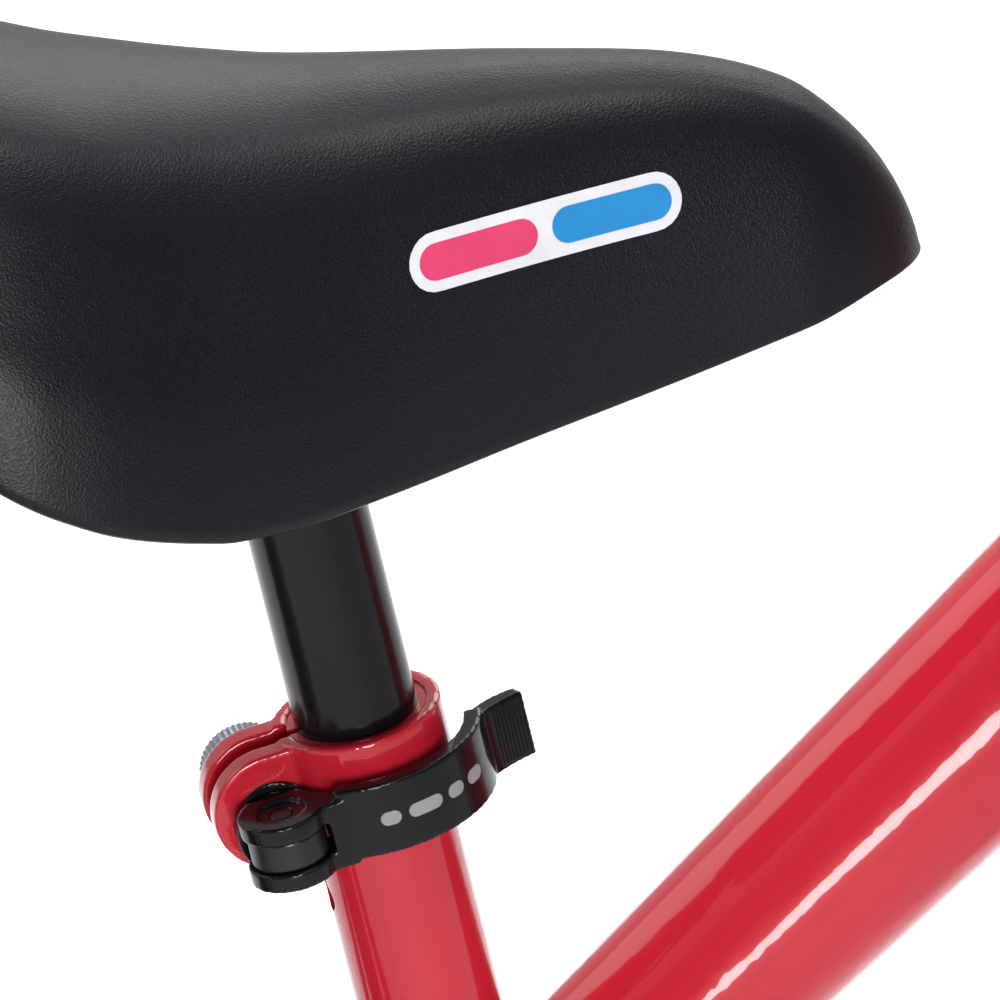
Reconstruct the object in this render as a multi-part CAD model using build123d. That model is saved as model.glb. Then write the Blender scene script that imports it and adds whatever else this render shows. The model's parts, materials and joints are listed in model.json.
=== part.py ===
"""A 12-inch balance bike, as separate pieces, in millimetres.

+X is forward, +Y is the rider's left and +Z is up. The origin is on the ground under the
middle of the bike. Each piece is written to parts/NODE.step.
"""
import os
from math import cos, radians, sin, tan

from build123d import *

# Layout
WHEEL_BASE = 590.0
TYRE_RADIUS = 148.5
TYRE_WIDTH = 47.0
REAR_AXLE = Vector(-WHEEL_BASE / 2, 0, TYRE_RADIUS)
FRONT_AXLE = Vector(WHEEL_BASE / 2, 0, TYRE_RADIUS)
SEAT_ANGLE = radians(77)
COLLAR_TOP = Vector(-79, 0, 265)
HEAD_ANGLE = radians(68)
FORK_OFFSET = 25.0
MAIN_ANGLE = radians(43)
FIT = 0.05                    # radial clearance of a running fit
GAP = 0.3                     # clearance between pieces that move past each other

# The seat tube's own frame: local X forward, Z up along the tube, origin at the collar's top
SEAT = Plane(
    origin=COLLAR_TOP,
    x_dir=(sin(SEAT_ANGLE), 0, cos(SEAT_ANGLE)),
    z_dir=(-cos(SEAT_ANGLE), 0, sin(SEAT_ANGLE)),
)
# The fork's own frame: local X forward, Z up along the steering axis, front axle at Z = 0
HEAD_X = Vector(sin(HEAD_ANGLE), 0, cos(HEAD_ANGLE))
HEAD = Plane(
    origin=FRONT_AXLE - HEAD_X * FORK_OFFSET,
    x_dir=HEAD_X,
    z_dir=(-cos(HEAD_ANGLE), 0, sin(HEAD_ANGLE)),
)

# Seat cluster
POST_RADIUS = 12.7
POST_BORE = 10.7
POST_BOTTOM = -95.0
SEAT_TUBE_RADIUS = 14.5
SEAT_TUBE_TOP = -0.8
SEAT_TUBE_BOTTOM = -145.0
JUNCTION_DEPTH = 114.0        # seat tube axis crosses the main tube axis this far down
SLOT_WIDTH = 2.2
KEYHOLE_DEPTH = 38.5
KEYHOLE_RADIUS = 3.1
COLLAR_RADIUS = 17.45
COLLAR_HEIGHT = 15.0
EAR_RADIUS = 12.4
EAR_BACK = 21.9
EAR_DEPTH = 13.0
EAR_OUTER = 8.0
EAR_GAP = 2.6
BOLT_BACK = 22.0
BOLT_DEPTH = 15.2
SKEWER_RADIUS = 3.0
PIVOT_SIDE = -18.0
BARREL_RADIUS = 8.0
WASHER_RADIUS = 9.0
WASHER_FACE = -12.6
CAM_RADIUS = 9.0
CAM_HALF = 7.25               # half the height of the lever's forked end
FORK_HALF = 3.4               # half the height of the slot between its two prongs
SLOT_END = -13.5
STRAP_OUTER = 24.6
STRAP_INNER = 20.9
STRAP_LOW = -21.6
STRAP_HIGH = -6.1
PIN_RADIUS = 2.4
PIN_RECESS = 5.0
NUT_SHOULDER = 8.2
NUT_STEP = 10.5               # where the shoulder ends and the wider knurled head starts
NUT_RADIUS = 9.3
NUT_END = 19.0
NUT_NOTCHES = 44
NOTCH_RADIUS = 0.4

# Main tube: radius at each distance along its axis from the crossing with the seat tube
MAIN_RADII = [(0, 18.75), (75, 20.92), (150, 23.08), (205, 23.9), (300, 20.4), (330, 20.4)]
MAIN_WALL = 1.8
BEND_RADIUS = 60.0
BEND_START = 10.0
TAIL_X = -118.0
HEAD_TUBE_RADIUS = 21.0
HEAD_TUBE_BORE = 17.5
HEAD_LOW = 203.0
HEAD_HIGH = 295.0
STAY_RADIUS = 9.5
STAY_WALL = 1.6

# Fork, stem and bar
STEERER_RADIUS = 14.3
STEERER_BORE = 12.75
STEERER_TOP = 321.0
CROWN_LOW = 162.0
CROWN_HIGH = 184.0
CROWN_RADIUS = 18.5
LEG_RADIUS = 10.5
LEG_WALL = 1.6
LEG_BEND = 28.0
DROPOUT_INNER = 44.0
DROPOUT_THICK = 4.0
AXLE_RADIUS = 5.0
NECK_RADIUS = 4.0             # relief between the axle's thread and its turned-down end
NECK_START = 58.3
STUB_RADIUS = 4.5
STUB_START = 59.3
AXLE_END = 65.0
QUILL_RADIUS = 12.7
BAR_CLAMP = Vector(38, 0, 352)
BAR_RADIUS = 11.1
BAR_BORE = 9.3
BAR_HALF = 203.0
BAR_RISE = 62.0
GRIP_LENGTH = 92.0

# Wheel
RIM_EDGE = 107.5
BEAD_SEAT = 101.5
RIM_FLOOR = 96.0
RIM_BACK = 94.0
RIM_HALF = 15.0
SPOKES = 16
SPOKE_RADIUS = 1.0
FLANGE_RADIUS = 20.8
FLANGE_HOLES = 18.5
FLANGE_FACE = 26.5
FLANGE_THICK = 3.0
HUB_END = 34.0
BEARING_RADIUS = 13.0
BEARING_WIDTH = 8.0
SPOKE_SWEEP = 34.0            # degrees round the hub between a spoke's two ends

# Saddle stations: forward of the collar's top, half width, hem height, top height and how
# much of the nose's narrow section it has. Heights are above the collar's top.
SADDLE = [
    (-125, 24, 118, 146, 0.0),
    (-118, 44, 106, 157, 0.0),
    (-100, 59, 91, 160, 0.0),
    (-70, 64, 73.5, 153.5, 0.0),
    (-35, 55, 63.5, 145, 0.35),
    (0, 43, 65.5, 140.2, 0.75),
    (35, 32, 71.5, 138.2, 1.0),
    (70, 23.5, 79, 134.5, 1.0),
    (95, 18.5, 86, 125, 1.0),
    (109, 13, 90, 109.5, 1.0),
    (115.5, 6, 91, 97, 1.0),
]
# Half sections as (share of the half width, share of the height)
TAIL_SECTION = [(0, 1), (0.24, 0.957), (0.47, 0.85), (0.7, 0.745), (0.88, 0.62), (0.98, 0.38)]
NOSE_SECTION = [(0, 1), (0.3, 0.972), (0.57, 0.885), (0.78, 0.75), (0.92, 0.54), (0.99, 0.3)]
POCKET_INSET = 8.0
POCKET_TOP = 104.4
BASE_LOW = 100.0
BASE_HIGH = 104.0
PLATE_LOW = 97.0


def rod(start, end, radius):
    run = Vector(end) - Vector(start)
    return Solid.make_cylinder(radius, run.length, Plane(origin=Vector(start), z_dir=run))


def disc(low, high, radius, x=0.0, y=0.0):
    """A cylinder along local Z."""
    return rod((x, y, low), (x, y, high), radius)


def collar(low, high, outer, inner, x=0.0, y=0.0):
    """A ring along local Z."""
    return disc(low, high, outer, x, y) - disc(low - 1, high + 1, inner, x, y)


def cross_ring(low, high, outer, inner):
    """A ring along Y."""
    return rod((0, low, 0), (0, high, 0), outer) - rod((0, low - 1, 0), (0, high + 1, 0), inner)


def block(low, high):
    """A box between two corners."""
    size = Vector(high) - Vector(low)
    return Pos(*((Vector(low) + Vector(high)) * 0.5)) * Box(size.X, size.Y, size.Z)


def swept(points, radius, outer, inner):
    """A bent tube along straight runs joined by arcs."""
    path = FilletPolyline(*points, radius=radius)
    plane = Plane(origin=path @ 0, z_dir=path % 0)
    return sweep(plane * Circle(outer), path=path) - sweep(plane * Circle(inner), path=path)


def in_seat(shape):
    return SEAT.location * shape


def in_head(shape):
    return HEAD.location * shape


def save(name, *shapes):
    solids = [solid for shape in shapes for solid in shape.solids()]
    export_step(solids[0] if len(solids) == 1 else Compound(solids), f"parts/{name}.step")


# Frame


def main_axis():
    """The main tube's frame: origin at the crossing with the seat tube, local Z up along it."""
    crossing = COLLAR_TOP - SEAT.z_dir * JUNCTION_DEPTH
    up = Vector(cos(MAIN_ANGLE), 0, sin(MAIN_ANGLE))
    return Plane(origin=crossing, x_dir=(sin(MAIN_ANGLE), 0, -cos(MAIN_ANGLE)), z_dir=up)


def main_upper(wall):
    """The tapered upper run, as a solid of revolution shrunk by the wall."""
    points = [(radius - wall, 0, along) for along, radius in MAIN_RADII]
    edge = Spline(*points)
    outline = Polyline(points[-1], (0, 0, MAIN_RADII[-1][0]), (0, 0, 0), points[0])
    return main_axis().location * revolve(make_face(edge + outline), Axis.Z)


def main_lower(radius):
    """The bend behind the seat tube and the short level run."""
    axis = main_axis()
    corner = axis.origin - axis.z_dir * (BEND_START + BEND_RADIUS * tan(MAIN_ANGLE / 2))
    path = FilletPolyline(axis.origin, corner, (TAIL_X, 0, corner.Z), radius=BEND_RADIUS)
    return sweep(Plane(origin=path @ 0, z_dir=path % 0) * Circle(radius), path=path)


def tail_height():
    axis = main_axis()
    return (axis.origin - axis.z_dir * (BEND_START + BEND_RADIUS * tan(MAIN_ANGLE / 2))).Z


def main_outer():
    return main_upper(0) + main_lower(MAIN_RADII[0][1])


def frame_tubes():
    outer = main_outer()
    inner = main_upper(MAIN_WALL) + main_lower(MAIN_RADII[0][1] - MAIN_WALL)
    seat_solid = in_seat(disc(SEAT_TUBE_BOTTOM - 30, 0, SEAT_TUBE_RADIUS))
    head_solid = in_head(disc(HEAD_LOW - 30, HEAD_HIGH + 60, HEAD_TUBE_RADIUS))
    main_tube = outer - inner - seat_solid - head_solid
    save("frame_main_tube", main_tube.solids().sort_by(SortBy.VOLUME)[-1])
    cap_face = Vector(TAIL_X, 0, tail_height())
    save("frame_tail_cap", rod(cap_face, cap_face - Vector(3, 0, 0), MAIN_RADII[0][1]))
    save("head_tube", in_head(collar(HEAD_LOW, HEAD_HIGH, HEAD_TUBE_RADIUS, HEAD_TUBE_BORE)))
    save("seat_tube", in_seat(seat_tube()))


def seat_tube():
    tube = collar(SEAT_TUBE_BOTTOM, SEAT_TUBE_TOP, SEAT_TUBE_RADIUS, POST_RADIUS + FIT)
    slot = block((-30, -SLOT_WIDTH / 2, -KEYHOLE_DEPTH), (-5, SLOT_WIDTH / 2, 5))
    keyhole = rod((-30, 0, -KEYHOLE_DEPTH), (-5, 0, -KEYHOLE_DEPTH), KEYHOLE_RADIUS)
    return tube - slot - keyhole


def chainstays():
    level = tail_height()
    outer = main_outer() + rod((TAIL_X, 0, level), (TAIL_X - 3, 0, level), MAIN_RADII[0][1])
    for name, side in (("left", 1), ("right", -1)):
        path = [
            (-84, side * 8, level),
            (-146, side * 40, level + 4),
            (REAR_AXLE.X + 22, side * (DROPOUT_INNER + 2), REAR_AXLE.Z),
        ]
        stay = swept(path, 60, STAY_RADIUS, STAY_RADIUS - STAY_WALL) - outer
        tab = dropout(side)
        save(f"chainstay_{name}", (stay - tab).solids().sort_by(SortBy.VOLUME)[-1])
        save(f"dropout_{name}", tab)


def dropout(side):
    """A flat plate with a slot that opens rearwards, in the bike's frame."""
    low = side * DROPOUT_INNER
    high = side * (DROPOUT_INNER + DROPOUT_THICK)
    centre = REAR_AXLE
    plate = rod((centre.X, low, centre.Z), (centre.X, high, centre.Z), 17)
    y_low, y_high = min(low, high), max(low, high)
    plate += block((centre.X, y_low, centre.Z - 11), (centre.X + 44, y_high, centre.Z + 11))
    slot = rod((centre.X, low * 0.9, centre.Z), (centre.X, high * 1.1, centre.Z), AXLE_RADIUS + FIT)
    radius = AXLE_RADIUS + FIT
    slot += block(
        (centre.X - 30, y_low - 2, centre.Z - radius), (centre.X, y_high + 2, centre.Z + radius)
    )
    return plate - slot


# Seat clamp


def clamp_collar():
    """A split band with two ears, each a round boss joined to the band by straight tangents."""
    centre = (-EAR_BACK, -EAR_DEPTH)
    top = (-EAR_BACK, -EAR_DEPTH + EAR_RADIUS)
    lean = radians(-70)
    low = (-EAR_BACK + EAR_RADIUS * cos(lean), -EAR_DEPTH + EAR_RADIUS * sin(lean))
    web = Polyline(top, (-10, top[1]), (-10, -COLLAR_HEIGHT), low, centre, top)
    profile = Plane.XZ * (Pos(*centre) * Circle(EAR_RADIUS) + make_face(web))
    shape = disc(-COLLAR_HEIGHT, 0, COLLAR_RADIUS) + extrude(profile, amount=EAR_OUTER, both=True)
    shape -= disc(-60, 10, SEAT_TUBE_RADIUS + FIT)
    shape -= block((-60, -EAR_GAP, -60), (-5, EAR_GAP, 10))
    shape -= bolt_rod(-40, -EAR_OUTER, WASHER_RADIUS + GAP)
    shape -= bolt_rod(EAR_OUTER, 40, NUT_SHOULDER + GAP)
    shape -= bolt_rod(NUT_STEP - GAP, 40, NUT_RADIUS + GAP)
    return shape - bolt_rod(-30, 30, SKEWER_RADIUS + FIT)


def bolt_rod(start, end, radius):
    """A cylinder round the clamp's bolt, between two places across the bike."""
    return rod((-BOLT_BACK, start, -BOLT_DEPTH), (-BOLT_BACK, end, -BOLT_DEPTH), radius)


def pivot_disc(low, high, radius):
    """A cylinder round the lever's pin, between two heights about the bolt's."""
    return disc(low - BOLT_DEPTH, high - BOLT_DEPTH, radius, -BOLT_BACK, PIVOT_SIDE)


def seat_clamp():
    save("clamp_collar", in_seat(clamp_collar()))
    skewer = bolt_rod(PIVOT_SIDE, EAR_OUTER * 2, SKEWER_RADIUS)
    skewer += pivot_disc(-FORK_HALF + GAP, FORK_HALF - GAP, BARREL_RADIUS)
    skewer += pivot_disc(-CAM_HALF + 1, CAM_HALF - 1, PIN_RADIUS)
    save("clamp_skewer", in_seat(skewer))
    washer = bolt_rod(-EAR_OUTER, WASHER_FACE, WASHER_RADIUS)
    washer -= bolt_rod(-30, 0, SKEWER_RADIUS + FIT)
    washer -= pivot_disc(-30, 30, CAM_RADIUS + GAP)
    save("clamp_washer", in_seat(washer))
    save("clamp_lever", in_seat(clamp_lever()))
    save("clamp_nut", in_seat(clamp_nut()))


def round_collar(radius, angle):
    """A point at an angle round the seat tube, from straight ahead."""
    return Vector(cos(radians(angle)), sin(radians(angle))) * radius


def clamp_lever():
    """A forked cam, a strap that wraps round the right of the collar, and a flared tip."""
    pivot = Vector(-BOLT_BACK, PIVOT_SIDE)
    inward = pivot.normalized()
    neck_angle = -112
    neck = [
        pivot + inward * (CAM_RADIUS - 0.2),
        round_collar(STRAP_OUTER, neck_angle),
        round_collar(STRAP_INNER, neck_angle),
        pivot - inward * (CAM_RADIUS - 0.9),
    ]
    start, middle, end = -118, -62, -8
    corners = [round_collar(STRAP_OUTER * 3, angle) for angle in (start, middle, end)]
    sector = make_face(Polyline((0, 0), *corners, (0, 0)))
    strap = (Circle(STRAP_OUTER) - Circle(STRAP_INNER)) & sector
    inner_edge = Spline(round_collar(STRAP_INNER, end), (22.3, -0.3), (26.2, 2.5), (32.4, 4.2))
    outer_edge = Spline((33.9, 1.2), (30.0, -0.2), (26.7, -1.8), round_collar(STRAP_OUTER, end))
    far_end = Line(inner_edge @ 1, outer_edge @ 0)
    tip = make_face(inner_edge + far_end + outer_edge + Line(outer_edge @ 1, inner_edge @ 0))
    cam = Pos(pivot.X, pivot.Y) * Circle(CAM_RADIUS) + make_face(Polyline(*neck, neck[0]))
    lever = extrude(Pos(0, 0, -BOLT_DEPTH - CAM_HALF) * cam, amount=2 * CAM_HALF)
    lever += extrude(Pos(0, 0, STRAP_LOW) * strap, amount=STRAP_HIGH - STRAP_LOW)
    lever += extrude(Pos(0, 0, STRAP_LOW - 0.6) * tip, amount=STRAP_HIGH - STRAP_LOW - 1.2)
    slot_low, slot_high = -BOLT_DEPTH - FORK_HALF, -BOLT_DEPTH + FORK_HALF
    lever -= block((-60, -60, slot_low), (SLOT_END, 0, slot_high))
    lever -= pivot_disc(-30, 30, PIN_RADIUS + FIT)
    return lever - pivot_disc(CAM_HALF - 0.9, 30, PIN_RECESS)


def clamp_nut():
    """A thumb nut: a plain shoulder against the ear and a wider knurled head."""
    nut = bolt_rod(EAR_OUTER + GAP, NUT_STEP, NUT_SHOULDER) + bolt_rod(NUT_STEP, NUT_END, NUT_RADIUS)
    nut -= bolt_rod(0, 60, SKEWER_RADIUS + FIT)
    for index in range(NUT_NOTCHES):
        angle = radians(360 * index / NUT_NOTCHES)
        x = -BOLT_BACK + (NUT_RADIUS + 0.2) * cos(angle)
        z = -BOLT_DEPTH + (NUT_RADIUS + 0.2) * sin(angle)
        nut -= rod((x, NUT_STEP - 1, z), (x, NUT_END - 1.2, z), NOTCH_RADIUS)
    return nut


# Saddle


def at_saddle(x, z):
    return COLLAR_TOP.X + x, COLLAR_TOP.Z + z


def saddle_section(station):
    x, half, hem, top, nose = station
    shares = [
        (a[0] * (1 - nose) + b[0] * nose, a[1] * (1 - nose) + b[1] * nose)
        for a, b in zip(TAIL_SECTION, NOSE_SECTION)
    ]
    right = [(-half * wide, hem + (top - hem) * tall) for wide, tall in reversed(shares)]
    left = [(half * wide, hem + (top - hem) * tall) for wide, tall in shares[1:]]
    outline = [(-half, hem)] + right + left + [(half, hem)]
    points = [Vector(*at_saddle(x, z)[:1], y, at_saddle(x, z)[1]) for y, z in outline]
    curve = Spline(*points, tangents=[(0, 0, 1), (0, 0, -1)])
    return make_face(curve + Line(curve @ 1, curve @ 0))


def pocket_outline(inset, low, high):
    """The space under the saddle, inside its skirt."""
    stations = [(x, half - inset) for x, half, *_ in SADDLE if -105 < x < 100]
    side = [Vector(COLLAR_TOP.X + x, -half) for x, half in stations]
    other = [Vector(point.X, -point.Y) for point in reversed(side)]
    edge = Spline(*side)
    back = Spline(*other)
    face = make_face(edge + Line(edge @ 1, back @ 0) + back + Line(back @ 1, edge @ 0))
    return extrude(Pos(0, 0, COLLAR_TOP.Z + low) * face, amount=high - low)


def screw_places():
    centre = COLLAR_TOP.X + PLATE_LOW * SEAT.z_dir.X / SEAT.z_dir.Z
    return [(centre + x, y) for x in (-26, 26) for y in (-12, 12)]


def saddle():
    shell = loft([saddle_section(station) for station in SADDLE])
    cushion = shell - pocket_outline(POCKET_INSET, 40, POCKET_TOP)
    save("saddle_cushion", cushion)
    top = COLLAR_TOP.Z
    base = pocket_outline(POCKET_INSET + 0.5, BASE_LOW, BASE_HIGH)
    centre = screw_places()[0][0] + 26
    plate = block(
        (centre - 34, -20, top + PLATE_LOW), (centre + 34, 20, top + BASE_LOW)
    )
    screws = []
    for x, y in screw_places():
        hole = rod((x, y, top + 60), (x, y, top + 150), 3 + FIT)
        base -= hole
        plate -= hole
        shank = rod((x, y, top + PLATE_LOW), (x, y, top + BASE_HIGH), 3)
        screws.append(shank + rod((x, y, top + PLATE_LOW - 4), (x, y, top + PLATE_LOW), 5))
    save("saddle_base", base)
    save("saddle_plate", plate)
    save("saddle_screws", *screws)
    post = in_seat(collar(POST_BOTTOM, 120, POST_RADIUS, POST_BORE))
    above = block((-300, -50, top + PLATE_LOW), (100, 50, top + 300))
    save("seat_post", post - above)


# Headset and fork


def headset():
    low_cup = collar(190.4, HEAD_LOW, 20.5, STEERER_RADIUS + 1)
    low_cup += collar(HEAD_LOW, HEAD_LOW + 10, HEAD_TUBE_BORE, STEERER_RADIUS + 1)
    high_cup = collar(HEAD_HIGH, 303, 20.5, STEERER_RADIUS + 1)
    high_cup += collar(HEAD_HIGH - 10, HEAD_HIGH, HEAD_TUBE_BORE, STEERER_RADIUS + 1)
    save("headset_cup_lower", in_head(low_cup))
    save("headset_cup_upper", in_head(high_cup))
    save("crown_race", in_head(collar(CROWN_HIGH, 190, 18, STEERER_RADIUS + FIT)))
    save("headset_top_race", in_head(collar(303.4, 311, 19, STEERER_RADIUS + FIT)))
    save("headset_lock_washer", in_head(collar(311, 313, 17.5, STEERER_RADIUS + FIT)))
    hexagon = extrude(Pos(0, 0, 313) * RegularPolygon(18.5, 6), amount=7)
    save("headset_locknut", in_head(hexagon - disc(300, 330, STEERER_RADIUS + FIT)))


def fork():
    crown = disc(CROWN_LOW, CROWN_HIGH, CROWN_RADIUS)
    save("fork_crown", in_head(crown - disc(CROWN_LOW - 1, CROWN_HIGH + 1, STEERER_RADIUS + FIT)))
    save("fork_steerer", in_head(collar(CROWN_LOW, STEERER_TOP, STEERER_RADIUS, STEERER_BORE)))
    for name, side in (("left", 1), ("right", -1)):
        tab = fork_tip(side)
        path = [
            (FORK_OFFSET - 2, side * (DROPOUT_INNER + 2), 22),
            (2, side * (DROPOUT_INNER + 2), 173),
            (0, side * 4, 173),
        ]
        leg = swept(path, LEG_BEND, LEG_RADIUS, LEG_RADIUS - LEG_WALL) - crown - tab
        save(f"fork_leg_{name}", in_head(leg.solids().sort_by(SortBy.VOLUME)[-1]))
        save(f"fork_tip_{name}", in_head(tab))


def fork_tip(side):
    """A flat plate with a slot that opens downwards, in the fork's frame."""
    low, high = sorted((side * DROPOUT_INNER, side * (DROPOUT_INNER + DROPOUT_THICK)))
    plate = rod((FORK_OFFSET, low, 0), (FORK_OFFSET, high, 0), 16)
    plate += block((FORK_OFFSET - 12, low, 0), (FORK_OFFSET + 8, high, 44))
    radius = AXLE_RADIUS + FIT
    slot = rod((FORK_OFFSET, low - 2, 0), (FORK_OFFSET, high + 2, 0), radius)
    slot += block((FORK_OFFSET - radius, low - 2, -30), (FORK_OFFSET + radius, high + 2, 0))
    return plate - slot


def axle_set(prefix, centre):
    """A threaded axle with a cone, washer and nut at each side."""
    def place(shape):
        return Pos(*centre) * shape

    def both(low, high, outer):
        ring = cross_ring(low, high, outer, AXLE_RADIUS + FIT)
        return place(ring), place(ring.mirror(Plane.XZ))

    outer_face = DROPOUT_INNER + DROPOUT_THICK
    axle = rod((0, -NECK_START, 0), (0, NECK_START, 0), AXLE_RADIUS)
    axle += rod((0, -STUB_START, 0), (0, STUB_START, 0), NECK_RADIUS)
    for side in (1, -1):
        axle += rod((0, side * STUB_START, 0), (0, side * AXLE_END, 0), STUB_RADIUS)
    save(f"{prefix}_axle", place(axle))
    save(f"{prefix}_cones", *both(HUB_END + 0.4, DROPOUT_INNER, 8.5))
    save(f"{prefix}_washers", *both(outer_face, outer_face + 1.6, 10))
    nut = extrude(Plane.XZ * RegularPolygon(9, 6), amount=-8)
    nut = Pos(0, outer_face + 1.6, 0) * nut - rod((0, 0, 0), (0, 90, 0), AXLE_RADIUS + FIT)
    save(f"{prefix}_nuts", place(nut), place(nut.mirror(Plane.XZ)))


# Wheel


def tyre_section():
    carcass = Pos(125, 0) * Circle(TYRE_WIDTH / 2)
    carcass -= Pos(124.5, 0) * Circle(19.5)
    beads = Pos(BEAD_SEAT + 5.1, 0) * Rectangle(10, 25.6)
    section = carcass + beads
    section -= Pos(BEAD_SEAT, 0) * Rectangle(14, 18)
    section -= Pos(124.5, 0) * Circle(19.5)
    flange = Pos(RIM_EDGE + 0.3 - 10, 0) * Rectangle(20, 2 * RIM_HALF + 1)
    flange -= Pos(RIM_EDGE + 0.3 - 10, 0) * Rectangle(20, 25.6)
    section -= flange
    return section - Pos(BEAD_SEAT - 9.9, 0) * Rectangle(20, 60)


def rim_section():
    half = [
        (RIM_EDGE, RIM_HALF), (RIM_EDGE, 13), (BEAD_SEAT, 13), (BEAD_SEAT, 8), (RIM_FLOOR, 5),
    ]
    back = [(RIM_BACK, 6), (BEAD_SEAT - 2, RIM_HALF)]
    mirrored = [(r, -y) for r, y in reversed(half)]
    outline = half + mirrored + [(r, -y) for r, y in reversed(back)] + back
    return make_face(Polyline(*outline, outline[0]))


def polar(radius, angle, y):
    return Vector(radius * cos(angle), y, radius * sin(angle))


def spoke_lines():
    """Each spoke's hub end, rim end and side, alternating sides and sweeps round the wheel."""
    lines = []
    for index in range(SPOKES):
        side = 1 if index % 2 == 0 else -1
        lead = 1 if index // 2 % 2 == 0 else -1
        rim_angle = radians(360 * index / SPOKES)
        hub_angle = rim_angle + lead * radians(SPOKE_SWEEP)
        outward = FLANGE_FACE + (FLANGE_THICK / 2 + 3.2 if lead > 0 else -FLANGE_THICK / 2 - 1.2)
        hub_end = polar(FLANGE_HOLES, hub_angle, side * outward)
        lines.append((hub_end, polar(RIM_BACK + 1, rim_angle, 0), side))
    return lines


def wheel(prefix, centre):
    def place(shape):
        return Pos(*centre) * shape

    rim = revolve(rim_section(), Axis.Y)
    tyre = revolve(tyre_section(), Axis.Y)
    hub = cross_ring(-HUB_END, HUB_END, 16, 9)
    hub -= cross_ring(-22, 22, 20, 13.5)
    half = FLANGE_THICK / 2
    for side in (1, -1):
        low, high = sorted((side * (FLANGE_FACE - half), side * (FLANGE_FACE + half)))
        hub += cross_ring(low, high, FLANGE_RADIUS, 15)
        bearing_seat = (0, side * (HUB_END - BEARING_WIDTH), 0), (0, side * (HUB_END + 1), 0)
        hub -= rod(*bearing_seat, BEARING_RADIUS)
    spokes, nipples = [], []
    for hub_end, rim_end, side in spoke_lines():
        along = (rim_end - hub_end).normalized()
        nipple_start = rim_end - along * 14
        flange = Vector(hub_end.X, side * FLANGE_FACE, hub_end.Z)
        head = flange + (flange - hub_end).normalized() * (FLANGE_THICK / 2 + 1)
        spoke = rod(hub_end, nipple_start, SPOKE_RADIUS) + rod(head, hub_end, SPOKE_RADIUS)
        spokes.append(place(spoke))
        nipples.append(place(rod(nipple_start, rim_end + along * 2.5, 2.0)))
        hub -= rod(head, hub_end, SPOKE_RADIUS + 0.2)
        rim -= rod(rim_end - along * 6, rim_end + along * 8, 2.15)
    valve_angle = radians(180 / SPOKES)
    stem = rod(polar(66, valve_angle, 0), polar(106, valve_angle, 0), 4)
    bore = rod(polar(60, valve_angle, 0), polar(115, valve_angle, 0), 1.2)
    rim -= rod(polar(80, valve_angle, 0), polar(105, valve_angle, 0), 4.2)
    tube = revolve(Pos(124.5, 0) * (Circle(19) - Circle(18)), Axis.Y) + stem - bore
    bearing = cross_ring(HUB_END - BEARING_WIDTH, HUB_END, BEARING_RADIUS, AXLE_RADIUS + FIT)
    save(f"{prefix}_rim", place(rim))
    save(f"{prefix}_tyre", place(tyre))
    save(f"{prefix}_inner_tube", place(tube))
    save(f"{prefix}_hub", place(hub))
    save(f"{prefix}_bearings", place(bearing), place(bearing.mirror(Plane.XZ)))
    save(f"{prefix}_spokes", *spokes)
    save(f"{prefix}_nipples", *nipples)


# Stem and handlebar


def stem():
    low = 232.0
    quill = collar(low, 342, QUILL_RADIUS, 9)
    head = disc(334, 366, 15.5) - disc(300, 400, 9)
    head += block((0, -11, 340), (BAR_CLAMP.X, 11, 362)) - disc(300, 400, 15)
    clamp = rod((BAR_CLAMP.X, -20, BAR_CLAMP.Z), (BAR_CLAMP.X, 20, BAR_CLAMP.Z), 17)
    head += clamp - disc(300, 400, 15)
    head += block((BAR_CLAMP.X, -20, BAR_CLAMP.Z - 6), (BAR_CLAMP.X + 30, 20, BAR_CLAMP.Z + 6))
    head -= rod((BAR_CLAMP.X, -30, BAR_CLAMP.Z), (BAR_CLAMP.X, 30, BAR_CLAMP.Z), BAR_RADIUS + FIT)
    head -= block((BAR_CLAMP.X, -30, BAR_CLAMP.Z - 1.2), (BAR_CLAMP.X + 40, 30, BAR_CLAMP.Z + 1.2))
    pinch_x = BAR_CLAMP.X + 23.5
    head -= rod((pinch_x, 0, 300), (pinch_x, 0, 400), 3 + FIT)
    quill_cut = Plane(origin=(0, 0, low + 12), z_dir=(1, 0, 1))
    wedge_space = Solid.make_box(80, 80, 40, Plane(quill_cut.origin - quill_cut.x_dir * 40
                                                   - quill_cut.y_dir * 40 - quill_cut.z_dir * 40,
                                                   x_dir=quill_cut.x_dir, z_dir=quill_cut.z_dir))
    save("stem_quill", in_head((quill + head) - wedge_space))
    bolt = disc(low - 2, 366, 4) + disc(366, 373, 7)
    bolt -= extrude(Pos(0, 0, 369) * RegularPolygon(3.4, 6), amount=8)
    save("stem_bolt", in_head(bolt))
    wedge = disc(low - 8, low + 40, QUILL_RADIUS) & wedge_space.moved(Location(quill_cut.z_dir * -GAP))
    save("stem_wedge", in_head(wedge - disc(100, 400, 4 + FIT)))
    pinch = rod((pinch_x, 0, BAR_CLAMP.Z - 10), (pinch_x, 0, BAR_CLAMP.Z + 6), 3)
    pinch += rod((pinch_x, 0, BAR_CLAMP.Z + 6), (pinch_x, 0, BAR_CLAMP.Z + 12), 5)
    save("stem_clamp_bolt", in_head(pinch))


def bar_points():
    half = [(0, 36, 0), (-4, 80, BAR_RISE), (-34, BAR_HALF, BAR_RISE + 5)]
    right = [(x, -y, z) for x, y, z in reversed(half)]
    centre = HEAD.from_local_coords(BAR_CLAMP)
    return [centre + Vector(*point) for point in right + half]


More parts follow.
